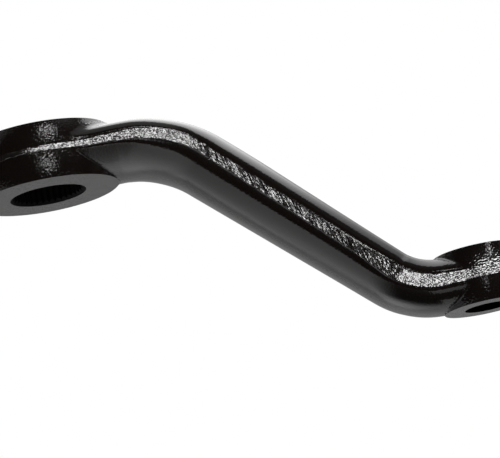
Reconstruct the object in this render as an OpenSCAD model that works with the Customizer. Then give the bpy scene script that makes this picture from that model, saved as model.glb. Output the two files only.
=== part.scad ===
// Dropped pitman arm, one steel drop forging.
// Origin at the middle of the splined bore, Z up along the bore, X towards the stud eye.
// Sizes in millimetres and degrees.

/* [Splined eye] */
// height between the two machined faces
eye_h = 25; // [22:0.5:30]
// radius of the machined faces
eye_face_r = 31; // [28:0.5:32]
// radius at the parting line
eye_r = 34; // [33:0.5:38]
// height of the trim band round this eye
eye_band_h = 1.8; // [1.4:0.2:4]

/* [Serrated bore] */
// number of serrations
teeth = 36; // [24:1:40]
// radius at the tooth tips, where the shaft seats
tip_r = 15; // [13:0.25:16]
// depth of each serration
tooth_depth = 1; // [0.6:0.1:1.2]
// half of the angle between the two flanks of a serration
flank_angle = 38; // [25:1:40]
// radius of the lead chamfers where they meet the faces
lead_r = 16.6; // [16.2:0.1:18]

/* [Stud eye] */
// height between the two machined faces
stud_h = 24.2; // [22:0.2:28]
// radius of the machined faces
stud_face_r = 18.5; // [16.5:0.5:19]
// radius at the parting line
stud_r = 20.5; // [20:0.5:24]
// height of the trim band round this eye
stud_band_h = 4.6; // [2:0.2:5]
// radius of the stud hole at the lower face, its large end
hole_r = 9.84; // [8:0.02:11]
// length over which the stud hole loses one unit of diameter
hole_taper = 8; // [6:0.5:16]

/* [Layout] */
// distance between the two hole axes
centres = 174; // [165:1:190]
// height of the splined eye above the stud eye
drop = 87; // [75:1:92]
// slope of the shank
slope = 44.9; // [42:0.1:48]
// distance from the bore to the corner of the upper bend
corner_x = 57.2; // [54:0.2:60]
// radius of the upper bend on the parting line
upper_bend_r = 45; // [38:1:48]
// radius of the lower bend on the parting line
lower_bend_r = 30; // [24:1:32]

/* [Shank] */
// half width of the shank, carried on to the axis of the splined eye
neck_w = 30; // [25:0.5:30.5]
// half width of the shank, carried on to the axis of the stud eye
waist_w = 18.5; // [15:0.5:19]
// plan radius that joins the shank to the splined eye
neck_fillet = 28; // [15:1:50]
// plan radius that joins the shank to the stud eye
waist_fillet = 30; // [8:1:40]
// depth of the upper side above the parting line, at the splined eye
upper_neck = 9.5; // [7:0.1:10.5]
// depth of the upper side above the parting line, along the slope
upper_slope = 11.9; // [8:0.1:13]
// depth of the upper side above the parting line, at the stud eye
upper_waist = 11.5; // [8:0.1:11.5]
// depth of the lower side below the parting line, at the splined eye
lower_neck = 12.2; // [10:0.1:12.2]
// depth of the lower side below the parting line, under the upper bend
lower_shoulder = 15.3; // [12:0.1:17]
// depth of the lower side below the parting line, at the stud eye
lower_waist = 11.5; // [9:0.1:11.6]
// fullness of the upper half of the oval section, 2 is an ellipse
upper_fullness = 2.2; // [2:0.05:2.8]
// fullness of the lower half of the oval section, 2 is an ellipse
lower_fullness = 2.4; // [2:0.05:2.8]
// fullness of the upper half where the shank leaves the splined eye
neck_upper_fullness = 3; // [2:0.05:3.2]
// fullness of the lower half where the shank leaves the splined eye
neck_lower_fullness = 2; // [2:0.05:2.8]
// distance from the splined eye over which the section takes its own fullness
fullness_run = 25; // [10:1:40]
// draft of the forged sides beside the trim band
draft = 7; // [3:0.5:10]
// height of the trim band at the upper bend
band_upper = 5.2; // [3:0.2:6]
// height of the trim band along the slope
band_slope = 4.6; // [3:0.2:6]
// height of the trim band at the lower bend
band_lower = 6.6; // [3:0.2:7]
// radius of the fillet where the shank runs into the splined eye
neck_root = 4; // [2:0.5:8]
// radius of the fillet where the shank runs into the stud eye
waist_root = 6; // [2:0.5:9]

/* [Hidden] */
$fn = 96;
// the S of the parting line: two corners with a bend radius each
lower_corner_x = corner_x + drop / tan(slope);
upper_t = upper_bend_r * tan(slope / 2);
lower_t = lower_bend_r * tan(slope / 2);
run_1 = corner_x - upper_t;
run_2 = run_1 + upper_bend_r * slope * PI / 180;
run_3 = run_2 + drop / sin(slope) - upper_t - lower_t;
run_4 = run_3 + lower_bend_r * slope * PI / 180;
run_end = run_4 + centres - lower_corner_x - lower_t;
// taper of the shank in plan, and the two fillets that join it to the eyes
taper = (waist_w - neck_w) / centres;
lean = sqrt(1 + taper * taper);
neck_c = neck_w + neck_fillet * lean;
waist_c = waist_w + waist_fillet * lean;
neck_x = root_of(1 + taper * taper, 2 * neck_c * taper,
                 neck_c * neck_c - pow(eye_r + neck_fillet, 2));
waist_x = root_of(1 + taper * taper, -2 * waist_c * taper,
                  waist_c * waist_c - pow(stud_r + waist_fillet, 2));
neck_y = neck_c + taper * neck_x;
waist_y = waist_c - taper * waist_x;
// where each fillet leaves its eye, and where it runs into the tapered side
neck_from = neck_x * eye_r / (eye_r + neck_fillet);
neck_to = neck_x + neck_fillet * taper / lean;
waist_from = waist_x * stud_r / (stud_r + waist_fillet);
waist_to = waist_x - waist_fillet * taper / lean;
// the shank starts and ends inside the eyes
bury = 3;
sink = 0.25;
ring_n = 28;
// step from the root fillets up to the machined faces
face_step = 0.6;
// walls of the eyes behind the root fillets, and where those fillets end
neck_wall = (eye_face_r * 2 + eye_r) / 3;
waist_wall = (stud_face_r * 2 + stud_r) / 3;
neck_end = neck_wall + neck_root;
waist_end = waist_wall + waist_root;
bow_run = 30;
// where the upper bend ends, and the lengths over which the band and the upper side change
shoulder_x = corner_x + upper_t * cos(slope);
band_run = 18;
swell_run = 18;
thin_start = 2;
thin_run = 20;
// draft beside the band of an eye, as a share of the mean draft of its side
rim_lead = 0.55;

function root_of(a, b, c) = (-b + sqrt(b * b - 4 * a * c)) / (2 * a);
function mix(a, b, t) = a + (b - a) * max(0, min(1, t));
function ease(t) = let(u = max(0, min(1, t))) u * u * (3 - 2 * u);
function blend(a, b, t) = a + (b - a) * ease(t);

// point and direction of the parting line at run s: x, z, angle below level
function path(s) =
    s < run_1 ? [s, 0, 0] :
    s < run_2 ? let(a = (s - run_1) / upper_bend_r * 180 / PI)
        [run_1 + upper_bend_r * sin(a), -upper_bend_r * (1 - cos(a)), a] :
    s < run_3 ? let(d = s - run_2 + upper_t)
        [corner_x + d * cos(slope), -d * sin(slope), slope] :
    s < run_4 ? let(a = slope - (s - run_3) / lower_bend_r * 180 / PI)
        [lower_corner_x + lower_t - lower_bend_r * sin(a),
         -drop + lower_bend_r * (1 - cos(a)), a] :
    [lower_corner_x + lower_t + s - run_4, -drop, 0];

// half width in plan at x, from the splined eye past both fillets to the stud eye
function half_width(x) =
    let(back = centres - x)
    x < neck_from ? sqrt(eye_r * eye_r - x * x) - sink :
    x < neck_to ? neck_y - sqrt(neck_fillet * neck_fillet - pow(x - neck_x, 2))
        - sink * (1 - ease((x - neck_from) / (neck_to - neck_from))) :
    back < waist_from ? sqrt(stud_r * stud_r - back * back) - sink :
    back < waist_to ? waist_y - sqrt(waist_fillet * waist_fillet - pow(back - waist_x, 2))
        - sink * (1 - ease((back - waist_from) / (waist_to - waist_from))) :
    mix(neck_w, waist_w, x / centres);

// height of the trim band at run s
function band_h(s) =
    let(up = (run_1 + run_2) / 2, low = (run_3 + run_4) / 2)
    s < up ? blend(eye_band_h, band_upper, s / up) :
    s < run_2 ? blend(band_upper, band_slope, (s - up) / (run_2 - up)) :
    s < run_3 ? blend(band_slope, band_lower, (s - run_3 + band_run) / band_run) :
    s < low ? band_lower :
    blend(band_lower, stud_band_h, (s - low) / (run_end - low));

// depth of the two sides of the shank at x, on its centre line
function upper_depth(x) =
    let(from_x = eye_face_r, to_x = shoulder_x + swell_run)
    x < to_x ? blend(upper_neck, upper_slope, (x - from_x) / (to_x - from_x)) :
    blend(upper_slope, upper_waist, (x - lower_corner_x - thin_start) / thin_run);
function lower_depth(x) =
    x < shoulder_x ? lower_neck + (lower_shoulder - lower_neck)
        * sin(90 * max(0, (x - eye_r) / (shoulder_x - eye_r))) :
    mix(lower_shoulder, lower_waist, (x - shoulder_x) / (lower_corner_x - shoulder_x));

// rise of a root fillet of radius f at distance r from the axis of an eye whose wall stands at wall_r
function root_rise(r, wall_r, f) =
    let(d = max(0, min(f, wall_r + f - r)))
    f - sqrt(f * f - d * d);

// depth of one side of the forging at a point, with the root fillets, kept below the faces
function side_depth(base, x, y) =
    let(rise = root_rise(norm([x, y]), neck_wall, neck_root)
             + root_rise(norm([x - centres, y]), waist_wall, waist_root))
    min(base + rise, max(base, (x < centres / 2 ? eye_h : stud_h) / 2 - face_step));

// run of a ring's point at distance y from the middle: beside an eye the ring bows round its axis
function bowed(s, y) =
    let(d = run_end - s, y_1 = min(y, 0.98 * s), y_2 = min(y, 0.98 * d))
    let(bow_1 = 1 - ease((s - neck_end) / bow_run), bow_2 = 1 - ease((d - waist_end) / bow_run))
    s - bow_1 * (s - sqrt(s * s - y_1 * y_1)) + bow_2 * (d - sqrt(d * d - y_2 * y_2));

// one oval ring of the shank at run s: near side, upper side, far side, lower side
function ring(s) =
    [for (i = [0 : 2 * ring_n - 1])
        let(up = i < ring_n ? 1 : -1)
        let(a = 180 * (i % ring_n) / (ring_n - 1))
        let(away = (path(s)[0] - eye_face_r) / fullness_run)
        let(power = 2 / (up > 0 ? blend(neck_upper_fullness, upper_fullness, away)
                                : blend(neck_lower_fullness, lower_fullness, away)))
        let(across = pow(abs(cos(a)), power), over = pow(sin(a), power))
        let(side = (a < 90 ? -1 : 1) * up)
        let(run = bowed(s, across * half_width(path(s)[0])))
        let(p = path(run), b = band_h(run) / 2)
        let(depth = up > 0 ? upper_depth(p[0]) : lower_depth(p[0]))
        let(x = p[0] + up * (b + (depth - b) * over) * sin(p[2]))
        let(y = side * max(0, half_width(x) * across - tan(draft) * (depth - b) * over * across))
        let(full = side_depth(depth, x, y))
        let(h = up * (b + (full - b) * over))
        [p[0] + h * sin(p[2]), y, p[1] + h * cos(p[2])]];

// runs at which the rings stand, closer together in the root fillets and round the bends
stations = [
    eye_face_r - bury,
    for (i = [0 : 7]) neck_end - neck_root * (1.2 - 1.2 * i / 8),
    for (i = [0 : 13]) mix(neck_end, run_2, i / 14),
    for (i = [0 : 7]) mix(run_2, run_3, i / 8),
    for (i = [0 : 11]) mix(run_3, run_end - waist_end, i / 12),
    for (i = [0 : 8]) run_end - waist_end + waist_root * 1.2 * i / 8,
    run_end - stud_face_r + bury];

// skin through a list of closed rings, whose ends are closed by strips from the upper to the lower half
module loft(rings) {
    n = len(rings[0]);
    m = len(rings);
    last = (m - 1) * n;
    polyhedron(
        points = [for (r = rings) for (p = r) p],
        faces = concat(
            [for (j = [0 : n / 2 - 2]) each
                let(a = j, b = j + 1, c = n - 1 - j, d = n - 2 - j)
                [[a, c, b], [b, c, d]]],
            [for (i = [0 : m - 2]) for (j = [0 : n - 1]) each
                let(a = i * n + j, b = i * n + (j + 1) % n, c = a + n, d = b + n)
                [[a, b, d], [a, d, c]]],
            [for (j = [0 : n / 2 - 2]) each
                let(a = last + j, b = last + j + 1, c = last + n - 1 - j, d = last + n - 2 - j)
                [[a, b, c], [b, d, c]]]),
        convexity = 6);
}

// barrel shaped eye: flat faces, drafted sides that bulge to the trim band
module eye(h, face_r, rim_r, band) {
    steps = 6;
    span = h / 2 - band / 2;
    mean = atan((rim_r - face_r) / span);
    lead = rim_lead * mean;
    turn = 2 * (mean - lead);
    bulge = norm([rim_r - face_r, span]) / (2 * sin(turn / 2));
    side = [for (i = [0 : steps]) let(a = lead + turn * i / steps)
        [rim_r - bulge * (cos(lead) - cos(a)), band / 2 + bulge * (sin(a) - sin(lead))]];
    rotate_extrude()
        polygon(concat(
            [[0, -h / 2]],
            [for (i = [steps : -1 : 0]) [side[i][0], -side[i][1]]],
            side,
            [[0, h / 2]]));
}

// serrations: the tip cylinder, a pattern of V grooves and a lead chamfer at each face
module serrated_bore() {
    groove_w = (tooth_depth + 0.4) * tan(flank_angle);
    cylinder(r = tip_r, h = eye_h + 2, center = true);
    for (k = [0 : teeth - 1])
        rotate(360 * (k + 0.5) / teeth)
            linear_extrude(height = eye_h + 2, center = true)
                polygon([[tip_r + tooth_depth, 0], [tip_r - 0.4, groove_w], [tip_r - 0.4, -groove_w]]);
    for (side = [0, 1])
        mirror([0, 0, side])
            translate([0, 0, eye_h / 2 - (lead_r - tip_r)])
                cylinder(r1 = tip_r, r2 = lead_r + 1, h = lead_r - tip_r + 1);
}

// tapered stud hole, large end at the lower face
module stud_hole() {
    rate = 1 / (2 * hole_taper);
    translate([centres, 0, -drop])
        translate([0, 0, -stud_h / 2 - 1])
            cylinder(r1 = hole_r + rate, r2 = hole_r - (stud_h + 1) * rate, h = stud_h + 2);
}

module shank() {
    loft([for (s = stations) ring(s)]);
}

module pitman_arm() {
    color([0.03, 0.03, 0.03])
        difference() {
            union() {
                shank();
                eye(eye_h, eye_face_r, eye_r, eye_band_h);
                translate([centres, 0, -drop])
                    eye(stud_h, stud_face_r, stud_r, stud_band_h);
            }
            serrated_bore();
            stud_hole();
        }
}

pitman_arm();
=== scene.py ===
# Dropped pitman arm: a painted drop forging, dressed and lit for the photograph's view.
import math

import bpy
import numpy as np
from mathutils import Matrix, Vector


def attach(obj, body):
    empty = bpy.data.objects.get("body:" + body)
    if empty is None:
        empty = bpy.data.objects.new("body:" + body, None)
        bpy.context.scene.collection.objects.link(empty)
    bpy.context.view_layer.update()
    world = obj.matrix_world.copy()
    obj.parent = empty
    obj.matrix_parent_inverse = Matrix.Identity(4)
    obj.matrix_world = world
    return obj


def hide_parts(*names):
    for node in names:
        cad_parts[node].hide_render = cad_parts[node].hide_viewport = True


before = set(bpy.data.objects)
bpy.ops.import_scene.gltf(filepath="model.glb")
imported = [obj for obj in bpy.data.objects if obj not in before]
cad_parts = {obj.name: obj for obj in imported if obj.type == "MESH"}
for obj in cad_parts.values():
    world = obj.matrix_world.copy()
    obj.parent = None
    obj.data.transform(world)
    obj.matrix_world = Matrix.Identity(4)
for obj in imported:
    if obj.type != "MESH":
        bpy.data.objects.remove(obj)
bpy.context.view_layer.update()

# Sizes of the forging as in the part's source: millimetres, the flank angle in degrees,
# the slope in radians and the draft as a tangent
EYE_H = 25.0
EYE_FACE_R = 31.0
EYE_R = 34.0
EYE_BAND_H = 1.8
TEETH = 36
TIP_R = 15.0
TOOTH_DEPTH = 1.0
FLANK_ANGLE = 38.0
LEAD_R = 16.6
STUD_H = 24.2
STUD_FACE_R = 18.5
STUD_R = 20.5
STUD_BAND_H = 4.6
HOLE_R = 9.84
HOLE_TAPER = 8.0
CENTRES = 174.0
DROP = 87.0
SLOPE = math.radians(44.9)
CORNER_X = 57.2
UPPER_BEND_R = 45.0
LOWER_BEND_R = 30.0
NECK_W = 30.0
WAIST_W = 18.5
NECK_FILLET = 28.0
WAIST_FILLET = 30.0
UPPER_NECK = 9.5
UPPER_SLOPE = 11.9
UPPER_WAIST = 11.5
LOWER_SHOULDER = 15.3
LOWER_WAIST = 11.5
UPPER_FULLNESS = 2.2
LOWER_FULLNESS = 2.4
NECK_UPPER_FULLNESS = 3.0
NECK_LOWER_FULLNESS = 2.0
FULLNESS_RUN = 25.0
DRAFT = math.tan(math.radians(7.0))
BAND_UPPER = 5.2
BAND_SLOPE = 4.6
BAND_LOWER = 6.6
NECK_ROOT = 4.0
WAIST_ROOT = 6.0
RIM_LEAD = 0.55
SINK = 0.25
FACE_STEP = 0.6
BAND_RUN = 18.0
SWELL_RUN = 18.0
THIN_START = 2.0
THIN_RUN = 20.0

# Lower side at the neck, a quarter of a millimetre deeper than in the part's source
LOWER_NECK = 12.45
# How far the shank's sides dive under the rims of the eyes, times SINK, and how far from the axes it ends
DIVE = 12.0
BURY = 6.0
# Trim band: the seat behind it in the eyes' rims, the rise of its strip, and what the skin's own flat lacks
BAND_SEAT = 0.2
STRIP_RISE = 0.5
FLAT_CUT = 0.8
# Net of the skin: its step, the rounds that find and settle its points, and the steps below the lowest face,
# which keep every level of the grid out of the machined faces
NET_STEP = 0.85
HALVINGS = 9
SETTLE_ROUNDS = 4
STEPS_BELOW = 2.37
# Step of the trim strip along the band, its rows and its margin beyond the sheared face
STRIP_STEP = 0.42
STRIP_ROWS = 17
STRIP_MARGIN = 0.4
# Reach of the strip's rows to each side, and how close the spare ones lie on a narrow band
ROW_REACH = 3.0
ROW_BUNCH = 0.02
# How much higher the sheared face is at each edge round the splined eye, and the run over which that goes
EYE_FACE_EXTRA = 0.4
EYE_FACE_RUN = 40.0
# Slant of the strip's columns on the slope, and where it goes before the lower bend
COLUMN_SLANT = 1.59
COLUMN_END = 6.0
COLUMN_END_RUN = 14.0
# Sheared face: its tilt for a lean of one, and the lean past the upper bend, down the slope and below it
SHEAR_TILT = 0.08
LEAN_AT_BEND = 0.6
LEAN_RUN = 6.0
LEAN_DOWN = 0.65
LEAN_LOW = 0.7
LEAN_LOW_FROM = 0.3
LEAN_LOW_SHARE = 0.6
LEAN_END = 1.0
LEAN_END_RUN = 5.0
LEAN_BELOW = 0.4
LEAN_BELOW_RUN = 8.0
# Crease between the shank and an eye: its softness, and the heights over which that goes
CREASE_SOFT = 0.5
CREASE_LEAST = 0.1
CREASE_FACE = 3.0
CREASE_BAND = 2.0
# Run in metres over which a matt sheet turns pale towards its back
PALE_RUN = 0.07
# Kinds of surface, one bit each
SIDE = 1
FACE = 2
HOLE = 4

# The S of the parting line, and the plan fillets that join the shank to the eyes
LOWER_CORNER_X = CORNER_X + DROP / math.tan(SLOPE)
UPPER_T = UPPER_BEND_R * math.tan(SLOPE / 2)
LOWER_T = LOWER_BEND_R * math.tan(SLOPE / 2)
RUN_1 = CORNER_X - UPPER_T
RUN_2 = RUN_1 + UPPER_BEND_R * SLOPE
RUN_3 = RUN_2 + DROP / math.sin(SLOPE) - UPPER_T - LOWER_T
RUN_4 = RUN_3 + LOWER_BEND_R * SLOPE
RUN_END = RUN_4 + CENTRES - LOWER_CORNER_X - LOWER_T
TAPER = (WAIST_W - NECK_W) / CENTRES
LEAN = math.sqrt(1 + TAPER * TAPER)
NECK_C = NECK_W + NECK_FILLET * LEAN
WAIST_C = WAIST_W + WAIST_FILLET * LEAN


def root_of(a, b, c):
    return (-b + math.sqrt(b * b - 4 * a * c)) / (2 * a)


NECK_X = root_of(LEAN ** 2, 2 * NECK_C * TAPER, NECK_C ** 2 - (EYE_R + NECK_FILLET) ** 2)
WAIST_X = root_of(LEAN ** 2, -2 * WAIST_C * TAPER, WAIST_C ** 2 - (STUD_R + WAIST_FILLET) ** 2)
NECK_Y = NECK_C + TAPER * NECK_X
WAIST_Y = WAIST_C - TAPER * WAIST_X
NECK_FROM = NECK_X * EYE_R / (EYE_R + NECK_FILLET)
NECK_TO = NECK_X + NECK_FILLET * TAPER / LEAN
WAIST_FROM = WAIST_X * STUD_R / (STUD_R + WAIST_FILLET)
WAIST_TO = WAIST_X - WAIST_FILLET * TAPER / LEAN
NECK_WALL = (EYE_FACE_R * 2 + EYE_R) / 3
WAIST_WALL = (STUD_FACE_R * 2 + STUD_R) / 3
SHOULDER_X = CORNER_X + UPPER_T * math.cos(SLOPE)


def part_way(a, b, t):
    return a + (b - a) * np.clip(t, 0, 1)


def eased(t):
    u = np.clip(t, 0, 1)
    return u * u * (3 - 2 * u)


def eased_way(a, b, t):
    return a + (b - a) * eased(t)


# Parting line at run s: x, z and the angle below level
def parting_line(s):
    s = np.asarray(s, float)
    a_1 = (s - RUN_1) / UPPER_BEND_R
    d = s - RUN_2 + UPPER_T
    a_2 = SLOPE - (s - RUN_3) / LOWER_BEND_R
    zones = [s < RUN_1, s < RUN_2, s < RUN_3, s < RUN_4]
    x = np.select(zones, [
        s, RUN_1 + UPPER_BEND_R * np.sin(a_1), CORNER_X + d * math.cos(SLOPE),
        LOWER_CORNER_X + LOWER_T - LOWER_BEND_R * np.sin(a_2)], LOWER_CORNER_X + LOWER_T + s - RUN_4)
    z = np.select(zones, [
        0 * s, -UPPER_BEND_R * (1 - np.cos(a_1)), -d * math.sin(SLOPE),
        -DROP + LOWER_BEND_R * (1 - np.cos(a_2))], -DROP)
    angle = np.select(zones, [0 * s, a_1, SLOPE + 0 * s, a_2], 0)
    return x, z, angle


# The other way round: run, height above the parting line and foot of a point beside the shank
def beside_line(x, z):
    c_x = LOWER_CORNER_X + LOWER_T
    c_z = LOWER_BEND_R - DROP
    start_x, start_z = parting_line(RUN_2)[:2]
    t = (x - start_x) * math.cos(SLOPE) - (z - start_z) * math.sin(SLOPE)
    a_1 = np.arctan2(x - RUN_1, z + UPPER_BEND_R)
    a_2 = np.arctan2(c_x - x, c_z - z)
    slope_h = (x - start_x) * math.sin(SLOPE) + (z - start_z) * math.cos(SLOPE)
    zones = [(t < 0) & (x < RUN_1), t < 0, t < RUN_3 - RUN_2, x < c_x]
    run = np.select(zones, [
        x, RUN_1 + UPPER_BEND_R * a_1, RUN_2 + t, RUN_3 + LOWER_BEND_R * (SLOPE - a_2)], x - c_x + RUN_4)
    height = np.select(zones, [
        z, np.hypot(x - RUN_1, z + UPPER_BEND_R) - UPPER_BEND_R, slope_h,
        LOWER_BEND_R - np.hypot(x - c_x, z - c_z)], z + DROP)
    foot = np.select(zones, [
        x, RUN_1 + UPPER_BEND_R * np.sin(a_1), start_x + t * math.cos(SLOPE),
        c_x - LOWER_BEND_R * np.sin(a_2)], x)
    return run, height, foot


def half_width(x, sink=SINK):
    back = CENTRES - x
    neck = NECK_Y - np.sqrt(np.maximum(NECK_FILLET ** 2 - (x - NECK_X) ** 2, 0))
    neck = neck - sink * (1 - eased((x - NECK_FROM) / (NECK_TO - NECK_FROM)))
    waist = WAIST_Y - np.sqrt(np.maximum(WAIST_FILLET ** 2 - (back - WAIST_X) ** 2, 0))
    waist = waist - sink * (1 - eased((back - WAIST_FROM) / (WAIST_TO - WAIST_FROM)))
    zones = [x < NECK_FROM, x < NECK_TO, back < WAIST_FROM, back < WAIST_TO]
    in_eye = sink * eased_way(DIVE, 1, x / NECK_FROM)
    in_stud = sink * eased_way(DIVE, 1, back / WAIST_FROM)
    return np.select(zones, [
        np.sqrt(np.maximum(EYE_R ** 2 - x * x, 0)) - in_eye, neck,
        np.sqrt(np.maximum(STUD_R ** 2 - back * back, 0)) - in_stud, waist],
        part_way(NECK_W, WAIST_W, x / CENTRES))


def band_height(s):
    up = (RUN_1 + RUN_2) / 2
    low = (RUN_3 + RUN_4) / 2
    return np.select([s < up, s < RUN_2, s < RUN_3, s < low], [
        eased_way(EYE_BAND_H, BAND_UPPER, s / up),
        eased_way(BAND_UPPER, BAND_SLOPE, (s - up) / (RUN_2 - up)),
        eased_way(BAND_SLOPE, BAND_LOWER, (s - RUN_3 + BAND_RUN) / BAND_RUN),
        BAND_LOWER + 0 * s], eased_way(BAND_LOWER, STUD_BAND_H, (s - low) / (RUN_END - low)))


# How far the sheared face leans back on the slope, where the shear cut across the bend
def shear_lean(s):
    up = (RUN_1 + RUN_2) / 2
    down = (s - RUN_2) / (RUN_3 - RUN_2)
    lean = LEAN_AT_BEND * eased((s - up) / (RUN_2 + LEAN_RUN - up)) + LEAN_DOWN * part_way(0, 1, down)
    lean = lean + LEAN_LOW * eased((down - LEAN_LOW_FROM) / LEAN_LOW_SHARE)
    after = eased((s - RUN_3 - LEAN_END) / LEAN_END_RUN)
    return lean * (1 - after) + LEAN_BELOW * after * (1 - eased((s - RUN_4) / LEAN_BELOW_RUN))


def shear_recess(run, height):
    b = band_height(run) / 2
    return SHEAR_TILT * shear_lean(run) * np.clip(height + b, 0, 2 * b)


def upper_depth(x):
    to_x = SHOULDER_X + SWELL_RUN
    return np.where(
        x < to_x, eased_way(UPPER_NECK, UPPER_SLOPE, (x - EYE_FACE_R) / (to_x - EYE_FACE_R)),
        eased_way(UPPER_SLOPE, UPPER_WAIST, (x - LOWER_CORNER_X - THIN_START) / THIN_RUN))


def lower_depth(x):
    dip = np.sin(np.pi / 2 * np.clip((x - EYE_R) / (SHOULDER_X - EYE_R), 0, 1))
    return np.where(
        x < SHOULDER_X, LOWER_NECK + (LOWER_SHOULDER - LOWER_NECK) * dip,
        part_way(LOWER_SHOULDER, LOWER_WAIST, (x - SHOULDER_X) / (LOWER_CORNER_X - SHOULDER_X)))


def root_rise(r, wall_r, f):
    d = np.clip(wall_r + f - r, 0, f)
    return f - np.sqrt(f * f - d * d)


# Distance-like fields: below zero inside the steel
def shank_field(x, y, z):
    run, height, foot = beside_line(x, z)
    above = height > 0
    depth = np.where(above, upper_depth(foot), lower_depth(foot))
    away = (foot - EYE_FACE_R) / FULLNESS_RUN
    power = np.where(above, eased_way(NECK_UPPER_FULLNESS, UPPER_FULLNESS, away),
                     eased_way(NECK_LOWER_FULLNESS, LOWER_FULLNESS, away))
    b = band_height(run) / 2 - FLAT_CUT
    rise = root_rise(np.hypot(x, y), NECK_WALL, NECK_ROOT)
    rise = rise + root_rise(np.hypot(x - CENTRES, y), WAIST_WALL, WAIST_ROOT)
    face = np.where(x < CENTRES / 2, EYE_H, STUD_H) / 2 - FACE_STEP
    full = np.minimum(depth + rise, np.maximum(depth, face))
    over = np.maximum((np.abs(height) - b) / (full - b), 0)
    width = np.maximum(half_width(x) - shear_recess(run, height) - DRAFT * (depth - b) * over, 0.5)
    across = np.abs(y) / width
    level = across ** power + over ** power - 1
    steep_y = power * across ** (power - 1) / width
    steep_h = power * over ** (power - 1) / (full - b)
    side = level / np.maximum(np.hypot(steep_y, steep_h), 0.02)
    return np.maximum(side, np.abs(x - CENTRES / 2) - CENTRES / 2 + BURY)


def eye_field(r, z, h, face_r, rim_r, band):
    band = band - 2 * FLAT_CUT
    span = h / 2 - band / 2
    mean = math.atan2(rim_r - face_r, span)
    lead = mean * RIM_LEAD
    bulge = math.hypot(rim_r - face_r, span) / (2 * math.sin(mean - lead))
    centre_r = rim_r - bulge * math.cos(lead)
    centre_z = band / 2 - bulge * math.sin(lead)
    side = np.hypot(r - centre_r, np.abs(z) - centre_z) - bulge
    seat = BAND_SEAT * (1 - eased((np.abs(z) - band / 2) / span))
    return np.where(np.abs(z) < band / 2, r - rim_r, side) + seat


def soft_union(a, b, k):
    near = np.maximum(k - np.abs(a - b), 0) / np.maximum(k, 1e-6)
    return np.minimum(a, b) - near * near * k / 4


# Softness of the crease between the shank and an eye: none at the faces and little at the trim band
def crease_softness(z, h, band):
    at_face = np.clip((h / 2 - np.abs(z)) / CREASE_FACE, 0, 1)
    at_band = np.clip((np.abs(z) - band / 2) / CREASE_BAND, CREASE_LEAST, 1)
    return CREASE_SOFT * at_face * at_band


def shank_and_eyes(x, y, z):
    shank = shank_field(x, y, z)
    eye = eye_field(np.hypot(x, y), z, EYE_H, EYE_FACE_R, EYE_R, EYE_BAND_H)
    stud = eye_field(np.hypot(x - CENTRES, y), z + DROP, STUD_H, STUD_FACE_R, STUD_R, STUD_BAND_H)
    near_eye = x < CENTRES / 2
    k = np.where(near_eye, crease_softness(z, EYE_H, EYE_BAND_H),
                 crease_softness(z + DROP, STUD_H, STUD_BAND_H))
    return shank, np.where(near_eye, eye, stud), k


# The forged sides alone, as if the eyes had no machined faces
def forged_sides(x, y, z):
    return soft_union(*shank_and_eyes(x, y, z))


def face_field(x, z):
    return np.where(x < CENTRES / 2, np.abs(z) - EYE_H / 2, np.abs(z + DROP) - STUD_H / 2)


def hole_radius(x, z):
    return np.where(x < CENTRES / 2, LEAD_R, HOLE_R - (z + DROP + STUD_H / 2) / (2 * HOLE_TAPER))


def hole_field(x, y, z):
    r = np.hypot(np.where(x < CENTRES / 2, x, x - CENTRES), y)
    return hole_radius(x, z) - r


# The whole forging with plain round holes, and which surface counts at a point: side, face or hole
def forging_field(x, y, z):
    shank, eye, k = shank_and_eyes(x, y, z)
    face = face_field(x, z)
    skin = soft_union(shank, np.maximum(eye, face), k)
    hole = hole_field(x, y, z)
    kind = np.where(hole > skin, HOLE, np.where((face > eye) & (shank > face), FACE, SIDE))
    return np.maximum(skin, hole), kind


def steepest(x, y, z, gap=0.02):
    return np.stack([
        forged_sides(x + gap, y, z) - forged_sides(x - gap, y, z),
        forged_sides(x, y + gap, z) - forged_sides(x, y - gap, z),
        forged_sides(x, y, z + gap) - forged_sides(x, y, z - gap)], axis=1) / (2 * gap)


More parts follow.
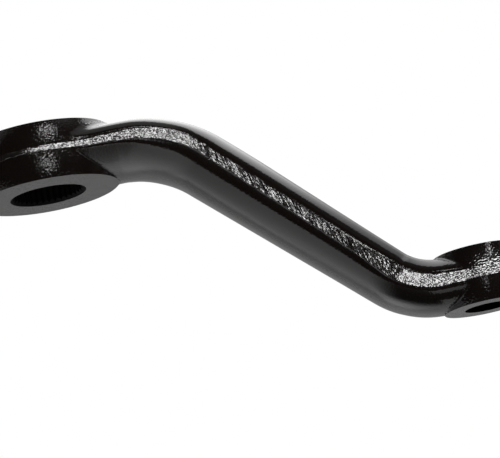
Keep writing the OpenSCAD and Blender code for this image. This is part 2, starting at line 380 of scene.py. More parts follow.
# Skin of the forging as a net of quads, one vertex in each cell of a grid that the surface crosses
def net_of_forging(step):
    xs = np.arange(-EYE_R - 2 * step, CENTRES + STUD_R + 2 * step, step)
    cells = math.ceil((EYE_R + 2 * step) / step)
    ys = (np.arange(-cells, cells) + 0.5) * step
    zs = np.arange(-DROP - STUD_H / 2 - STEPS_BELOW * step, EYE_H / 2 + 2 * step, step)
    half = len(ys) // 2
    values = np.empty((len(xs), len(ys), len(zs)), np.float32)
    grid_y, grid_z = np.meshgrid(ys[half:], zs, indexing="ij")
    for i, x in enumerate(xs):
        sheet = forging_field(np.full_like(grid_y, x), grid_y, grid_z)[0]
        values[i, half:] = sheet
        values[i, :half] = sheet[::-1]
    inside = values < 0
    size = np.array(values.shape)
    total = np.zeros((values.size, 3), np.float64)
    count = np.zeros(values.size, np.int32)
    kinds = np.zeros(values.size, np.int32)
    quads = []
    quad_kinds = []
    for axis in range(3):
        near = [slice(None)] * 3
        far = [slice(None)] * 3
        near[axis] = slice(0, -1)
        far[axis] = slice(1, None)
        crossed = np.argwhere(inside[tuple(near)] != inside[tuple(far)])
        ahead = crossed.copy()
        ahead[:, axis] += 1
        low = np.stack([xs[crossed[:, 0]], ys[crossed[:, 1]], zs[crossed[:, 2]]], axis=1)
        high = np.stack([xs[ahead[:, 0]], ys[ahead[:, 1]], zs[ahead[:, 2]]], axis=1)
        starts_inside = inside[tuple(crossed.T)]
        for turn in range(HALVINGS):
            middle = (low + high) / 2
            value = forging_field(*middle.T)[0]
            same = (value < 0) == starts_inside
            low[same] = middle[same]
            high[~same] = middle[~same]
        middle = (low + high) / 2
        kind = forging_field(*middle.T)[1]
        side_1 = (axis + 1) % 3
        side_2 = (axis + 2) % 3
        corners = []
        for back_1, back_2 in ((1, 1), (0, 1), (0, 0), (1, 0)):
            cell = crossed.copy()
            cell[:, side_1] -= back_1
            cell[:, side_2] -= back_2
            flat = np.ravel_multi_index(tuple(cell.T), tuple(size))
            for column in range(3):
                total[:, column] += np.bincount(flat, middle[:, column], values.size)
            count += np.bincount(flat, minlength=values.size).astype(np.int32)
            np.bitwise_or.at(kinds, flat, kind)
            corners.append(flat)
        quad = np.stack(corners, axis=1)
        quad[~starts_inside] = quad[~starts_inside][:, ::-1]
        quads.append(quad)
        quad_kinds.append(kind)
    used = np.flatnonzero(count)
    number = np.full(values.size, -1)
    number[used] = np.arange(len(used))
    points = total[used] / count[used][:, None]
    return points, number[np.concatenate(quads)], kinds[used], np.concatenate(quad_kinds)


# Moves each vertex onto its own surface, and those between two surfaces onto the edge where they meet
def settle_on_surfaces(points, kinds):
    x, y, z = points.T.copy()
    near_eye = x < CENTRES / 2
    level = np.where(near_eye, 0, -DROP)
    half_h = np.where(near_eye, EYE_H, STUD_H) / 2
    on_face = (kinds & FACE) > 0
    z = np.where(on_face, level + np.sign(z - level) * half_h, z)
    on_hole = (kinds & HOLE) > 0
    middle = np.where(near_eye, 0, CENTRES)
    stretch = np.where(on_hole, hole_radius(x, z) / np.maximum(np.hypot(x - middle, y), 1e-6), 1)
    x = middle + (x - middle) * stretch
    y = y * stretch
    moving = ((kinds & SIDE) > 0) & ~on_hole
    for turn in range(SETTLE_ROUNDS):
        px, py, pz = x[moving], y[moving], z[moving]
        slope = steepest(px, py, pz)
        slope[on_face[moving], 2] = 0
        reach = np.clip(forged_sides(px, py, pz), -0.5, 0.5)
        move = slope * (reach / np.maximum((slope ** 2).sum(axis=1), 0.05))[:, None]
        x[moving] -= move[:, 0]
        y[moving] -= move[:, 1]
        z[moving] -= move[:, 2]
    return np.stack([x, y, z], axis=1)


# One normal for each corner of each quad, so that machined edges stay crisp and forged skin stays smooth
def corner_normals(points, quads, kinds):
    slope = steepest(*points.T)
    skin = slope / np.maximum(np.linalg.norm(slope, axis=1, keepdims=True), 1e-6)
    flat = np.zeros_like(points)
    flat[:, 2] = np.sign(points[:, 2] - np.where(points[:, 0] < CENTRES / 2, 0, -DROP))
    wall = points * -1.0
    wall[:, 0] += np.where(points[:, 0] < CENTRES / 2, 0, CENTRES)
    wall[:, 2] = 0
    wall /= np.maximum(np.linalg.norm(wall, axis=1, keepdims=True), 1e-6)
    out = skin[quads]
    out[kinds == FACE] = flat[quads[kinds == FACE]]
    out[kinds == HOLE] = wall[quads[kinds == HOLE]]
    return out


# Node trees are wired with these few helpers
def add_node(tree, kind, **settings):
    node = tree.nodes.new(kind)
    for key, value in settings.items():
        setattr(node, key, value)
    return node


def plug(tree, socket, value):
    if isinstance(value, bpy.types.NodeSocket):
        tree.links.new(value, socket)
    else:
        socket.default_value = value


def calc(tree, prefix, operation, *values):
    node = add_node(tree, prefix + "NodeMath", operation=operation)
    for socket, value in zip(node.inputs, values):
        plug(tree, socket, value)
    return node.outputs[0]


def shape_tree(name, inputs):
    tree = bpy.data.node_groups.new(name, "GeometryNodeTree")
    for label, kind, value in inputs:
        socket = tree.interface.new_socket(label, in_out="INPUT", socket_type="NodeSocket" + kind)
        if value is not None:
            socket.default_value = value
    tree.interface.new_socket("Geometry", in_out="OUTPUT", socket_type="NodeSocketGeometry")
    return tree, tree.nodes.new("NodeGroupInput"), tree.nodes.new("NodeGroupOutput")


# Runs a tree on a mesh with the given input values and gives back points in mm, faces and corner normals
def grown_mesh(tree, name, mesh, values):
    holder = bpy.data.objects.new(name, mesh)
    bpy.context.scene.collection.objects.link(holder)
    modifier = holder.modifiers.new(name, "NODES")
    modifier.node_group = tree
    for item in tree.interface.items_tree:
        if item.item_type == "SOCKET" and item.in_out == "INPUT" and item.name in values:
            modifier[item.identifier] = values[item.name]
    bpy.context.view_layer.update()
    grown = bpy.data.meshes.new_from_object(holder.evaluated_get(bpy.context.evaluated_depsgraph_get()))
    points = np.empty(len(grown.vertices) * 3)
    grown.vertices.foreach_get("co", points)
    corners = np.empty(len(grown.loops), np.int32)
    grown.loops.foreach_get("vertex_index", corners)
    normals = np.empty(len(grown.loops) * 3)
    grown.corner_normals.foreach_get("vector", normals)
    holder.modifiers.clear()
    bpy.data.objects.remove(holder)
    return points.reshape(-1, 3) * 1000, corners.reshape(-1, 4), normals.reshape(-1, 4, 3)


# Serrated bore: one tooth space is drawn from a grid and turned round the axis, once for each tooth
def serration_tree():
    tree, start, end = shape_tree("serrated_bore", [
        ("Geometry", "Geometry", None), ("Teeth", "Int", 36), ("Tip radius", "Float", 0.015),
        ("Tooth depth", "Float", 0.001), ("Land share", "Float", 0.3), ("Half length", "Float", 0.0125),
        ("Lead radius", "Float", 0.0166), ("Paint", "Material", None)])
    value = start.outputs

    def m(operation, *values):
        return calc(tree, "Shader", operation, *values)

    grid = add_node(tree, "GeometryNodeMeshGrid")
    plug(tree, grid.inputs["Size X"], 1.0)
    plug(tree, grid.inputs["Size Y"], 2.0)
    plug(tree, grid.inputs["Vertices X"], 13)
    plug(tree, grid.inputs["Vertices Y"], 21)
    place = add_node(tree, "ShaderNodeSeparateXYZ")
    plug(tree, place.inputs[0], add_node(tree, "GeometryNodeInputPosition").outputs[0])
    across = place.outputs["X"]
    along = place.outputs["Y"]
    pitch = m("DIVIDE", math.tau, value["Teeth"])
    # from the middle of a tooth space, 0, to the edge of the land, 1
    flank = m("DIVIDE", m("MULTIPLY", m("ABSOLUTE", across), 2.0), m("SUBTRACT", 1.0, value["Land share"]))
    depth = m("MULTIPLY", m("SUBTRACT", 1.0, m("MINIMUM", flank, 1.0)), value["Tooth depth"])
    tooth_r = m("ADD", value["Tip radius"], depth)
    # the lead cone starts where it meets the tooth
    reach = m("SUBTRACT", value["Half length"], m("SUBTRACT", value["Lead radius"], tooth_r))
    # this share of the rows lies on the tooth, and the rest on the lead cone
    tooth_share = 0.6
    lead = m("MAXIMUM", m("SUBTRACT", m("ABSOLUTE", along), tooth_share), 0.0)
    lead = m("DIVIDE", lead, 1 - tooth_share)
    inner = m("DIVIDE", m("MINIMUM", m("ABSOLUTE", along), tooth_share), tooth_share)
    lead_height = m("SUBTRACT", value["Half length"], reach)
    height = m("ADD", m("MULTIPLY", inner, reach), m("MULTIPLY", lead, lead_height))
    height = m("MULTIPLY", height, m("SIGN", along))
    radius = m("ADD", tooth_r, m("MULTIPLY", lead, m("SUBTRACT", value["Lead radius"], tooth_r)))
    angle = m("MULTIPLY", across, pitch)
    point = add_node(tree, "ShaderNodeCombineXYZ")
    plug(tree, point.inputs["X"], m("MULTIPLY", radius, m("COSINE", angle)))
    plug(tree, point.inputs["Y"], m("MULTIPLY", radius, m("SINE", angle)))
    plug(tree, point.inputs["Z"], height)
    shape = add_node(tree, "GeometryNodeSetPosition")
    plug(tree, shape.inputs["Geometry"], grid.outputs["Mesh"])
    plug(tree, shape.inputs["Position"], point.outputs[0])
    turned_in = add_node(tree, "GeometryNodeFlipFaces")
    plug(tree, turned_in.inputs[0], shape.outputs[0])
    axis_points = add_node(tree, "GeometryNodePoints")
    plug(tree, axis_points.inputs["Count"], value["Teeth"])
    place_on = add_node(tree, "GeometryNodeInstanceOnPoints")
    plug(tree, place_on.inputs["Points"], axis_points.outputs[0])
    plug(tree, place_on.inputs["Instance"], turned_in.outputs[0])
    turn = add_node(tree, "ShaderNodeCombineXYZ")
    step = m("ADD", add_node(tree, "GeometryNodeInputIndex").outputs[0], 0.5)
    plug(tree, turn.inputs["Z"], m("MULTIPLY", step, pitch))
    as_turn = add_node(tree, "FunctionNodeEulerToRotation")
    plug(tree, as_turn.inputs[0], turn.outputs[0])
    plug(tree, place_on.inputs["Rotation"], as_turn.outputs[0])
    real = add_node(tree, "GeometryNodeRealizeInstances")
    plug(tree, real.inputs[0], place_on.outputs[0])
    closed = add_node(tree, "GeometryNodeMergeByDistance")
    plug(tree, closed.inputs["Geometry"], real.outputs[0])
    plug(tree, closed.inputs["Distance"], 1e-6)
    smooth = add_node(tree, "GeometryNodeSetShadeSmooth")
    plug(tree, smooth.inputs["Geometry"], closed.outputs[0])
    plug(tree, smooth.inputs["Shade Smooth"], False)
    paint = add_node(tree, "GeometryNodeSetMaterial")
    plug(tree, paint.inputs["Geometry"], smooth.outputs[0])
    plug(tree, paint.inputs["Material"], value["Paint"])
    plug(tree, end.inputs[0], paint.outputs[0])
    return tree


# Trim band: rows of points that follow the parting line round both eyes and along both sides of the shank
def parting_loop(step):
    low = NECK_FROM
    high = RUN_END - WAIST_FROM
    runs = np.linspace(low, high, int((high - low) / step))
    arc_1 = math.acos(NECK_FROM / EYE_R)
    arc_2 = math.acos(-WAIST_FROM / STUD_R)
    turn_1 = np.linspace(arc_1, math.tau - arc_1, int((math.tau - 2 * arc_1) * EYE_R / step))[1:-1]
    turn_2 = np.linspace(-arc_2, arc_2, int(2 * arc_2 * STUD_R / step))[1:-1]
    return runs, turn_1, turn_2


# Half the height of the band's sheared face, which is a little higher round the splined eye
def face_half(s):
    return band_height(s) / 2 + EYE_FACE_EXTRA * (1 - eased(s / EYE_FACE_RUN))


# On the slope the marks of the shear stand nearly upright, so the columns of the strip slant with them
def column_slant(s):
    up = (RUN_1 + RUN_2) / 2
    before = 1 - eased((s - RUN_3 + COLUMN_END) / COLUMN_END_RUN)
    return COLUMN_SLANT * eased((s - up) / (RUN_2 + LEAN_RUN - up)) * before


# Rows across the band, evenly apart: on a narrow band the outer ones lie close together beyond its edges
def rows_across(half, rows, margin):
    t = np.linspace(-1, 1, rows)[None, :]
    reach = half[:, None] + margin
    v = np.abs(t) * np.maximum(reach, ROW_REACH)
    return np.sign(t) * (np.minimum(v, reach) + ROW_BUNCH * np.maximum(v - reach, 0))


# The strip before its grain, with each point's height, half band and lean for the tree that follows
def trim_strip(step, rows, margin):
    runs, turn_1, turn_2 = parting_loop(step)
    v = rows_across(face_half(runs), rows, margin)
    at = runs[:, None] - column_slant(runs)[:, None] * v
    half = face_half(at)
    x, z, angle = parting_line(at)
    px = x + v * np.sin(angle)
    pz = z + v * np.cos(angle)
    py = half_width(px, STRIP_RISE) + STRIP_RISE - shear_recess(at, v)
    near = np.stack([px, -py, pz], axis=2)
    far = np.stack([px, py, pz], axis=2)[::-1]
    half_2 = band_height(RUN_END + STUD_R * np.cos(turn_2) * (np.cos(turn_2) < 0)) / 2
    v_2 = rows_across(half_2, rows, margin)
    wide = np.ones_like(v_2)
    stud = np.stack([
        wide * (CENTRES + STUD_R * np.cos(turn_2))[:, None], wide * (STUD_R * np.sin(turn_2))[:, None],
        v_2 - DROP], axis=2)
    half_1 = face_half(np.maximum(EYE_R * np.cos(turn_1), 0))
    v_1 = rows_across(half_1, rows, margin)
    wide = np.ones_like(v_1)
    eye = np.stack([
        wide * (EYE_R * np.cos(turn_1))[:, None], wide * (EYE_R * np.sin(turn_1))[:, None], v_1], axis=2)
    points = np.concatenate([near, stud, far, eye]).reshape(-1, 3)
    heights = np.concatenate([v, v_2, v[::-1], v_1]).reshape(-1)
    halves_2 = half_2[:, None] + 0 * v_2
    halves_1 = half_1[:, None] + 0 * v_1
    halves = np.concatenate([half, halves_2, half[::-1], halves_1]).reshape(-1)
    lean = shear_lean(at)
    leans = np.concatenate([lean, 0 * v_2, lean[::-1], 0 * v_1]).reshape(-1)
    columns = len(points) // rows
    i, j = np.meshgrid(np.arange(columns), np.arange(rows - 1), indexing="ij")
    ahead = (i + 1) % columns
    faces = np.stack([i * rows + j, ahead * rows + j, ahead * rows + j + 1, i * rows + j + 1], axis=2)
    mesh = bpy.data.meshes.new("trim_strip")
    mesh.from_pydata(points / 1000, [], faces.reshape(-1, 4))
    for label, numbers in (("height", heights / 1000), ("half_band", halves / 1000), ("lean", leans)):
        layer = mesh.attributes.new(label, "FLOAT", "POINT")
        layer.data.foreach_set("value", numbers.astype(np.float32))
    mesh.shade_smooth()
    return mesh


# The sheared face: its edges wander, grain covers it, and marks of the shear cross it on the slope
def trim_tree():
    tree, start, end = shape_tree("trim_band", [
        ("Geometry", "Geometry", None), ("Proud", "Float", -0.0001), ("Tuck", "Float", 0.0009),
        ("Edge width", "Float", 0.0002), ("Edge wander", "Float", 0.0003), ("Wander size", "Float", 0.004),
        ("Plain edge", "Float", 0.0003), ("Plain fade", "Float", 0.0004), ("Grain depth", "Float", 0.00004),
        ("Torn grain", "Float", 3.0), ("Most lean", "Float", 1.8), ("Mark rise", "Float", 2.0),
        ("Mark share", "Float", 0.7), ("Rib depth", "Float", 0.0006), ("Rib spacing", "Float", 0.0011),
        ("Rib slant", "Float", 0.23), ("Rib stretch", "Float", 0.1), ("Patch size", "Float", 0.006),
        ("Patch change", "Float", 0.5), ("Rows", "Int", 17), ("Seed", "Int", 3), ("Paint", "Material", None)])
    value = start.outputs

    def m(operation, *values):
        return calc(tree, "Shader", operation, *values)

    def share(number):
        return m("MINIMUM", m("MAXIMUM", number, 0.0), 1.0)

    def noise(place, size, shift, detail):
        node = add_node(tree, "ShaderNodeTexNoise", noise_dimensions="4D")
        plug(tree, node.inputs["Vector"], place)
        plug(tree, node.inputs["W"], m("ADD", value["Seed"], shift))
        plug(tree, node.inputs["Scale"], m("DIVIDE", 1.0, size))
        plug(tree, node.inputs["Detail"], detail)
        return m("MULTIPLY", m("SUBTRACT", node.outputs["Fac"], 0.5), 2.0)

    def chance():
        # sockets 2 and 3 hold the least and the greatest of a plain number, and output 1 gives it
        node = add_node(tree, "FunctionNodeRandomValue", data_type="FLOAT")
        plug(tree, node.inputs[2], -1.0)
        plug(tree, node.inputs[3], 1.0)
        plug(tree, node.inputs["Seed"], value["Seed"])
        return node

    def named(label):
        node = add_node(tree, "GeometryNodeInputNamedAttribute", data_type="FLOAT")
        node.inputs["Name"].default_value = label
        return node.outputs["Attribute"]

    position = add_node(tree, "GeometryNodeInputPosition").outputs[0]
    wander = m("MULTIPLY", noise(position, value["Wander size"], 0.0, 3.0), value["Edge wander"])
    inside = m("SUBTRACT", m("ADD", named("half_band"), wander), m("ABSOLUTE", named("height")))
    on_face = share(m("DIVIDE", inside, value["Edge width"]))
    # the lowest edge of the sheared face is left plain
    above_edge = m("SUBTRACT", m("ADD", named("height"), named("half_band")), value["Plain edge"])
    torn_part = share(m("DIVIDE", above_edge, value["Plain fade"]))
    lean = m("MULTIPLY", m("MINIMUM", named("lean"), value["Most lean"]), torn_part)
    # the grain is deeper where the face leans, and changes a little from patch to patch
    torn = m("ADD", 1.0, m("MULTIPLY", lean, value["Torn grain"]))
    patch_noise = noise(position, value["Patch size"], 7.0, 1.0)
    patch = m("ADD", 1.0, m("MULTIPLY", patch_noise, value["Patch change"]))
    depth = m("MULTIPLY", value["Grain depth"], m("MULTIPLY", torn, patch))
    # where the face leans, most of the grain is the same all along a column of the strip
    index = add_node(tree, "GeometryNodeInputIndex").outputs[0]
    mark = chance()
    plug(tree, mark.inputs["ID"], m("FLOOR", m("DIVIDE", index, value["Rows"])))
    marked = m("MULTIPLY", m("MINIMUM", m("MULTIPLY", lean, value["Mark rise"]), 1.0), value["Mark share"])
    speck = m("MULTIPLY", chance().outputs[1], m("SUBTRACT", 1.0, marked))
    grain = m("MULTIPLY", m("ADD", speck, m("MULTIPLY", mark.outputs[1], marked)), depth)
    # ribs that stand nearly upright, drawn out along Z
    parts = add_node(tree, "ShaderNodeSeparateXYZ")
    plug(tree, parts.inputs[0], position)
    upright = add_node(tree, "ShaderNodeCombineXYZ")
    slant = m("MULTIPLY", parts.outputs["Z"], value["Rib slant"])
    plug(tree, upright.inputs["X"], m("ADD", parts.outputs["X"], slant))
    plug(tree, upright.inputs["Y"], parts.outputs["Y"])
    plug(tree, upright.inputs["Z"], m("MULTIPLY", parts.outputs["Z"], value["Rib stretch"]))
    rib = m("MULTIPLY", noise(upright.outputs[0], value["Rib spacing"], 5.0, 1.0), value["Rib depth"])
    out = m("ADD", value["Proud"], m("ADD", grain, m("MULTIPLY", rib, lean)))
    out = m("SUBTRACT", m("MULTIPLY", on_face, m("ADD", out, value["Tuck"])), value["Tuck"])
    lift = add_node(tree, "ShaderNodeVectorMath", operation="SCALE")
    plug(tree, lift.inputs[0], add_node(tree, "GeometryNodeInputNormal").outputs[0])
    plug(tree, lift.inputs["Scale"], out)
    shape = add_node(tree, "GeometryNodeSetPosition")
    plug(tree, shape.inputs["Geometry"], value["Geometry"])
    plug(tree, shape.inputs["Offset"], lift.outputs[0])
    real = add_node(tree, "GeometryNodeRealizeInstances")
    plug(tree, real.inputs[0], shape.outputs[0])
    crisp = add_node(tree, "GeometryNodeSetShadeSmooth")
    plug(tree, crisp.inputs["Geometry"], real.outputs[0])
    plug(tree, crisp.inputs["Shade Smooth"], False)
    paint = add_node(tree, "GeometryNodeSetMaterial")
    plug(tree, paint.inputs["Geometry"], crisp.outputs[0])
    plug(tree, paint.inputs["Material"], value["Paint"])
    plug(tree, end.inputs[0], paint.outputs[0])
    return tree


# Sprayed paint: orange peel, fine dust nibs and a slow change of film thickness
def paint_film_group():
    tree = bpy.data.node_groups.new("paint_film", "ShaderNodeTree")
    for label, value in (
            ("Peel scale", 900.0), ("Nib scale", 2500.0), ("Nib height", 0.3), ("Film scale", 70.0)):
        socket = tree.interface.new_socket(label, in_out="INPUT", socket_type="NodeSocketFloat")
        socket.default_value = value
    tree.interface.new_socket("Height", in_out="OUTPUT", socket_type="NodeSocketFloat")
    tree.interface.new_socket("Film", in_out="OUTPUT", socket_type="NodeSocketFloat")
    start = tree.nodes.new("NodeGroupInput")
    end = tree.nodes.new("NodeGroupOutput")
    place = add_node(tree, "ShaderNodeTexCoord").outputs["Object"]

    def noise(scale, detail):
        node = add_node(tree, "ShaderNodeTexNoise")
        plug(tree, node.inputs["Vector"], place)
        plug(tree, node.inputs["Scale"], scale)
        plug(tree, node.inputs["Detail"], detail)
        return node.outputs["Fac"]

    def m(operation, *values):
        return calc(tree, "Shader", operation, *values)

    def beyond(centre, radius):
        x = m("SUBTRACT", parts.outputs["X"], centre / 1000)
        y = parts.outputs["Y"]
        return m("SUBTRACT", m("SQRT", m("ADD", m("MULTIPLY", x, x), m("MULTIPLY", y, y))), radius / 1000)

    parts = add_node(tree, "ShaderNodeSeparateXYZ")
    plug(tree, parts.inputs[0], place)
    # the film lies smoother on the shank, from three millimetres outside the rims of the eyes
    flow = add_node(tree, "ShaderNodeMapRange")
    plug(tree, flow.inputs["Value"], m("MINIMUM", beyond(0.0, EYE_R), beyond(CENTRES, STUD_R)))
    plug(tree, flow.inputs["From Max"], 0.003)
    plug(tree, flow.inputs["To Min"], 1.0)
    plug(tree, flow.inputs["To Max"], 0.35)
    peel = noise(start.outputs["Peel scale"], 0.5)
    nibs = m("MULTIPLY", noise(start.outputs["Nib scale"], 1.0), start.outputs["Nib height"])
    plug(tree, end.inputs["Height"], m("MULTIPLY", m("ADD", peel, nibs), flow.outputs[0]))
    plug(tree, end.inputs["Film"], noise(start.outputs["Film scale"], 3.0))
    return tree


# Black paint whose tone and gloss change with the film, from the first to the second of two values
def black_paint(name, film, colours, roughness, values, bump_height):
    material = bpy.data.materials.new(name)
    material.use_nodes = True
    tree = material.node_tree
    shader = tree.nodes["Principled BSDF"]
    group = add_node(tree, "ShaderNodeGroup", node_tree=film)
    for label, value in values.items():
        group.inputs[label].default_value = value
    # sockets 6 and 7 hold the two colours that are mixed, and output 2 gives the result
    tone = add_node(tree, "ShaderNodeMix", data_type="RGBA")
    plug(tree, tone.inputs["Factor"], group.outputs["Film"])
    plug(tree, tone.inputs[6], (*colours[0], 1))
    plug(tree, tone.inputs[7], (*colours[1], 1))
    plug(tree, shader.inputs["Base Color"], tone.outputs[2])
    gloss = add_node(tree, "ShaderNodeMapRange")
    plug(tree, gloss.inputs["Value"], group.outputs["Film"])
    plug(tree, gloss.inputs["To Min"], roughness[0])
    plug(tree, gloss.inputs["To Max"], roughness[1])
    plug(tree, shader.inputs["Roughness"], gloss.outputs[0])
    bump = add_node(tree, "ShaderNodeBump")
    plug(tree, bump.inputs["Strength"], 1.0)
    plug(tree, bump.inputs["Distance"], bump_height)
    plug(tree, bump.inputs["Height"], group.outputs["Height"])
    plug(tree, shader.inputs["Normal"], bump.outputs[0])
    return material


film = paint_film_group()
gloss_black = black_paint(
    "gloss_black_paint", film, ((0.0026, 0.0018, 0.0015), (0.004, 0.0029, 0.0024)), (0.09, 0.14),
    {"Peel scale": 1300.0, "Nib scale": 3000.0, "Nib height": 0.03}, 0.0001)
trimmed_black = black_paint(
    "trimmed_band_paint", film, ((0.004, 0.003, 0.0028), (0.008, 0.0065, 0.006)), (0.14, 0.2),
    {"Peel scale": 1500.0, "Nib scale": 2400.0, "Nib height": 0.1}, 0.00003)
# The bore: darker and with far less gloss than the rest, partly a duller finish on the machined bore and
# partly painted shade in its recess
bore_dull_and_shade = black_paint(
    "bore_dull_black_and_shade", film, ((0.0008, 0.0008, 0.0008), (0.0015, 0.0014, 0.0014)), (0.55, 0.7),
    {"Peel scale": 1500.0, "Nib scale": 2400.0, "Nib height": 0.1}, 0.00002)
bore_dull_and_shade.node_tree.nodes["Principled BSDF"].inputs["Specular IOR Level"].default_value = 0.06

# The three parts of the forging's surface, made one mesh
points, quads, kinds, quad_kinds = net_of_forging(NET_STEP)
points = settle_on_surfaces(points, kinds)
normals = corner_normals(points, quads, quad_kinds)
kept = ~((quad_kinds == HOLE) & (points[quads[:, 0], 0] < CENTRES / 2))
skin = (points, quads[kept], normals[kept])
groove = 2 * math.atan(TOOTH_DEPTH * math.tan(math.radians(FLANK_ANGLE)) / TIP_R)
bore = grown_mesh(serration_tree(), "bore_serrations", bpy.data.meshes.new("bore_start"), {
    "Teeth": TEETH, "Tip radius": TIP_R / 1000, "Tooth depth": TOOTH_DEPTH / 1000,
    "Land share": 1 - groove * TEETH / math.tau, "Half length": EYE_H / 2000, "Lead radius": LEAD_R / 1000,
    "Paint": bore_dull_and_shade})
band = grown_mesh(trim_tree(), "trim_band", trim_strip(STRIP_STEP, STRIP_ROWS, STRIP_MARGIN), {
    "Proud": -0.0001, "Tuck": 0.0009, "Edge width": 0.0002, "Edge wander": 0.0003, "Wander size": 0.004,
    "Plain edge": 0.0003, "Plain fade": 0.0004, "Grain depth": 0.00004, "Torn grain": 3.0, "Most lean": 1.8,
    "Mark rise": 2.0, "Mark share": 0.7, "Rib depth": 0.0006, "Rib spacing": 0.0011, "Rib slant": 0.23,
    "Rib stretch": 0.1, "Patch size": 0.006, "Patch change": 0.5, "Rows": STRIP_ROWS, "Seed": 3,
    "Paint": trimmed_black})


# One object from the parts of the surface, each with its own material and corner normals
def one_forging(name, parts, materials):
    start = 0
    all_points = []
    all_faces = []
    all_normals = []
    all_slots = []
    for (part_points, part_faces, part_normals), index in parts:
        all_points.append(part_points / 1000)
        all_faces.append(part_faces + start)
        all_normals.append(part_normals.reshape(-1, 3))
        all_slots.append(np.full(len(part_faces), index, np.int32))
        start += len(part_points)
    mesh = bpy.data.meshes.new(name)
    mesh.from_pydata(np.concatenate(all_points), [], np.concatenate(all_faces))
    for material in materials:
        mesh.materials.append(material)
    mesh.polygons.foreach_set("material_index", np.concatenate(all_slots))
    mesh.shade_smooth()
    mesh.update()
    mesh.normals_split_custom_set(np.concatenate(all_normals))
    piece = bpy.data.objects.new(name, mesh)
    bpy.context.scene.collection.objects.link(piece)
    return piece


arm = one_forging(
    "painted_forging", [(skin, 0), (band, 1), (bore, 2)], [gloss_black, trimmed_black, bore_dull_and_shade])
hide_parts("pitman_arm")
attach(arm, "root")


# A smooth change of a value, from one number at the start to another at the stop
def ramp(tree, value, start, stop, low, high):
    node = add_node(tree, "ShaderNodeMapRange", interpolation_type="SMOOTHSTEP")
    for label, number in (("From Min", start), ("From Max", stop), ("To Min", low), ("To Max", high)):
        node.inputs[label].default_value = number
    plug(tree, node.inputs["Value"], value)
    return node.outputs[0]


# A level sheet of the studio, from its sides in plan: left, right, front and back
def stage_sheet(name, sides, level, material):
    left, right, front, back = sides
    mesh = bpy.data.meshes.new(name)
    mesh.from_pydata(
        [(left, front, level), (right, front, level), (right, back, level), (left, back, level)], [],
        [(0, 1, 2, 3)])
    mesh.materials.append(material)
    sheet = bpy.data.objects.new(name, mesh)
    bpy.context.scene.collection.objects.link(sheet)


def place_along(tree):
    parts = add_node(tree, "ShaderNodeSeparateXYZ")
    plug(tree, parts.inputs[0], add_node(tree, "ShaderNodeTexCoord").outputs["Object"])
    return parts.outputs


# A matt sheet that fades from one tone to another along X, and back to the first one behind pale_from
def matt_sheet(name, sides, level, tones, fade, pale_from=None):
    material = bpy.data.materials.new(name)
    material.use_nodes = True
    tree = material.node_tree
    shader = tree.nodes["Principled BSDF"]
    along = place_along(tree)
    tone = ramp(tree, along["X"], *fade, *tones)
    if pale_from is not None:
        pale = ramp(tree, along["Y"], pale_from, pale_from + PALE_RUN, 0.0, tones[0])
        tone = calc(tree, "Shader", "MAXIMUM", tone, pale)
    plug(tree, shader.inputs["Base Color"], tone)
    shader.inputs["Roughness"].default_value = 0.8
    stage_sheet(name, sides, level, material)


# Room: brightest overhead, dark on the camera's side and low at the right, plain white to the camera itself
def studio_room():
    world = bpy.data.worlds.new("studio")
    bpy.context.scene.world = world
    world.use_nodes = True
    tree = world.node_tree
    tree.nodes.clear()
    direction = add_node(tree, "ShaderNodeTexCoord").outputs["Generated"]
    facing = add_node(tree, "ShaderNodeVectorMath", operation="DOT_PRODUCT")
    plug(tree, facing.inputs[0], direction)
    plug(tree, facing.inputs[1], (-0.3, -0.82, 0.49))
    parts = add_node(tree, "ShaderNodeSeparateXYZ")
    plug(tree, parts.inputs[0], direction)
    to_right = parts.outputs["X"]
    upwards = parts.outputs["Z"]

    def m(operation, *values):
        return calc(tree, "Shader", operation, *values)

    overhead = ramp(tree, upwards, 0.25, 0.85, 0.3, 2.2)
    overhead = m("MULTIPLY", overhead, ramp(tree, to_right, 0.1, 0.65, 1.05, 0.35))
    room = m("MULTIPLY", overhead, ramp(tree, facing.outputs["Value"], 0.2, 0.28, 1.0, 0.0))
    beside = m("MAXIMUM", ramp(tree, to_right, 0.3, 0.55, 1.0, 0.0), ramp(tree, upwards, 0.25, 0.5, 0.0, 1.0))
    room = m("MULTIPLY", room, beside)
    room = m("ADD", room, 0.015)
    seen = add_node(tree, "ShaderNodeLightPath")
    # sockets 2 and 3 hold the two plain numbers that are mixed
    strength = add_node(tree, "ShaderNodeMix", data_type="FLOAT")
    plug(tree, strength.inputs[0], seen.outputs["Is Camera Ray"])
    plug(tree, strength.inputs[2], room)
    plug(tree, strength.inputs[3], 1.0)
    light = add_node(tree, "ShaderNodeBackground")
    light.inputs["Color"].default_value = (1, 1, 1, 1)
    plug(tree, light.inputs["Strength"], strength.outputs[0])
    plug(tree, add_node(tree, "ShaderNodeOutputWorld").inputs["Surface"], light.outputs[0])


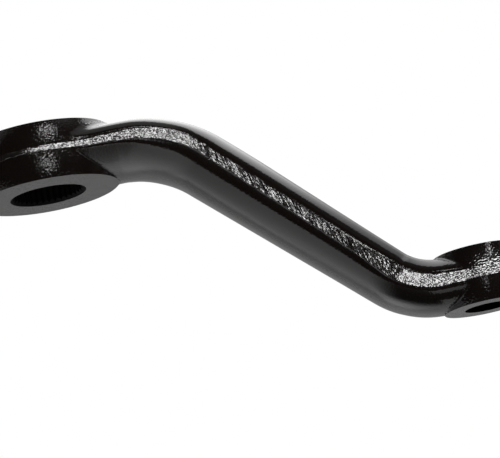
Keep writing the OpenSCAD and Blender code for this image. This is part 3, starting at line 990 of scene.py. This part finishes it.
# A soft panel over the arm, which its crest mirrors: bright at the left, dim at the right, and dark in front
def overhead_panel(name, sides, level):
    material = bpy.data.materials.new(name)
    material.use_nodes = True
    tree = material.node_tree
    tree.nodes.clear()
    along = place_along(tree)

    def m(operation, *values):
        return calc(tree, "Shader", operation, *values)

    # the front edge of the light lies further back towards both ends
    right_of = m("MAXIMUM", m("SUBTRACT", along["X"], 0.16), 0.0)
    left_of = m("MAXIMUM", m("SUBTRACT", 0.13, along["X"]), 0.0)
    set_back = m("ADD", m("MULTIPLY", right_of, 0.45), m("MINIMUM", m("MULTIPLY", left_of, 1.5), 0.03))
    depth = m("SUBTRACT", along["Y"], set_back)
    glow = ramp(tree, along["X"], 0.13, 0.29, 2.05, 0.6)
    glow = m("MULTIPLY", glow, ramp(tree, depth, -0.025, -0.005, 0.0, 1.0))
    glow = m("MULTIPLY", glow, ramp(tree, along["Y"], 0.0, 0.25, 1.25, 0.7))
    # a weak rest in front of that edge
    glow = m("MAXIMUM", glow, ramp(tree, along["X"], 0.08, 0.13, 0.42, 0.08))
    light = add_node(tree, "ShaderNodeEmission")
    plug(tree, light.inputs["Strength"], glow)
    shown = add_node(tree, "ShaderNodeMixShader")
    plug(tree, shown.inputs[0], add_node(tree, "ShaderNodeLightPath").outputs["Is Camera Ray"])
    plug(tree, shown.inputs[1], light.outputs[0])
    plug(tree, shown.inputs[2], add_node(tree, "ShaderNodeBsdfTransparent").outputs[0])
    plug(tree, add_node(tree, "ShaderNodeOutputMaterial").inputs["Surface"], shown.outputs[0])
    stage_sheet(name, sides, level, material)


# A flat lamp turned to a point of the arm, at angles right of the front and above level, with a set beam
def soft_lamp(name, target, azimuth, elevation, distance, width, height, power, beam):
    data = bpy.data.lights.new(name, "AREA")
    data.spread = math.radians(beam)
    data.shape = "RECTANGLE"
    data.size = width
    data.size_y = height
    data.energy = power
    lamp = bpy.data.objects.new(name, data)
    a = math.radians(azimuth)
    e = math.radians(elevation)
    away = np.array([math.sin(a) * math.cos(e), -math.cos(a) * math.cos(e), math.sin(e)])
    place = np.array(target) + away * distance
    side = np.cross([0, 0, 1.0], away)
    side /= np.linalg.norm(side)
    up = np.cross(away, side)
    turn = Matrix((side, up, away)).transposed().to_4x4()
    lamp.matrix_world = Matrix.Translation(place) @ turn
    bpy.context.scene.collection.objects.link(lamp)


# A lamp at the back that lights a long patch of the floor, which the lower side of the arm mirrors
def floor_spot(name, place, target, cone, power):
    data = bpy.data.lights.new(name, "SPOT")
    data.spot_size = math.radians(cone)
    data.spot_blend = 1.0
    data.shadow_soft_size = 0.05
    data.energy = power
    lamp = bpy.data.objects.new(name, data)
    turn = (Vector(target) - Vector(place)).to_track_quat("-Z", "Y").to_matrix().to_4x4()
    lamp.matrix_world = Matrix.Translation(place) @ turn
    bpy.context.scene.collection.objects.link(lamp)


# The camera fitted to the photograph, from its three axes and its place
def photo_camera():
    data = bpy.data.cameras.new("photo_camera")
    data.sensor_width = 36.0
    data.lens = 172.8
    data.clip_end = 20.0
    camera = bpy.data.objects.new("photo_camera", data)
    right = (0.97880457, 0.04376068, -0.20006653)
    up = (0.20478276, -0.1978128, 0.95861051)
    back = (0.00237372, -0.97926253, -0.20258151)
    turn = Matrix((right, up, back)).transposed().to_4x4()
    camera.matrix_world = Matrix.Translation((0.084539, -1.006279, -0.253260)) @ turn
    bpy.context.scene.collection.objects.link(camera)
    bpy.context.scene.camera = camera


# Pale floor, and dark sheets under the arm that its lower side mirrors: painted shade, standing in for the
# shade under the arm's lower end
FLOOR_Z = -0.42
SHADE_SHEET_Z = -0.2
# Painted shade: the floor's tone darkens from 0.66 to 0.45 towards the right
matt_sheet("pale_floor", (-2.5, 0.7, -0.58, 1.7), FLOOR_Z, tones=(0.66, 0.45), fade=(-0.1, 0.5))
# Painted shade: a dark sheet that fades in from pale along X and turns pale again behind, and a plain dark
# one to its right
matt_sheet("painted_shade_sheet", (0.0, 0.16, -0.25, 0.09), SHADE_SHEET_Z, tones=(0.6, 0.02), fade=(0.0, 0.08), pale_from=0.02)
matt_sheet("painted_shade_sheet_right", (0.16, 0.24, -0.1, 0.0), SHADE_SHEET_Z, tones=(0.02, 0.02), fade=(0.16, 0.24))
overhead_panel("overhead_panel", (-0.15, 0.45, -0.08, 0.25), 0.1)
studio_room()
# A long lamp that the trim band mirrors, and narrow ones for the bright spots on the two eyes
soft_lamp("near_lamp", (0.08, 0.0, -0.04), azimuth=24.5, elevation=13.2, distance=1.3,
          width=1.72, height=0.17, power=26.0, beam=180.0)
soft_lamp("left_lamp", (0.174, -0.02, -0.085), azimuth=-24.8, elevation=11.9, distance=0.484,
          width=0.09, height=0.035, power=0.005, beam=30.0)
soft_lamp("high_lamp", (0.006, -0.032, 0.008), azimuth=24.0, elevation=42.0, distance=0.6,
          width=0.24, height=0.02, power=0.014, beam=32.0)
soft_lamp("low_lamp", (0.0045, -0.0325, -0.007), azimuth=13.0, elevation=-11.0, distance=0.6,
          width=0.24, height=0.02, power=0.011, beam=32.0)
soft_lamp("stud_lamp", (0.178, -0.019, -0.081), azimuth=34.0, elevation=34.0, distance=0.6,
          width=0.15, height=0.02, power=0.0014, beam=12.0)
floor_spot("floor_spot_near", (-0.12, 1.9, 0.15), (-0.12, -0.05, FLOOR_Z), cone=20.0, power=270.0)
floor_spot("floor_spot_left", (-0.46, 1.9, 0.15), (-0.46, 0.0, FLOOR_Z), cone=21.0, power=215.0)
photo_camera()
bpy.context.scene.view_settings.view_transform = "Standard"
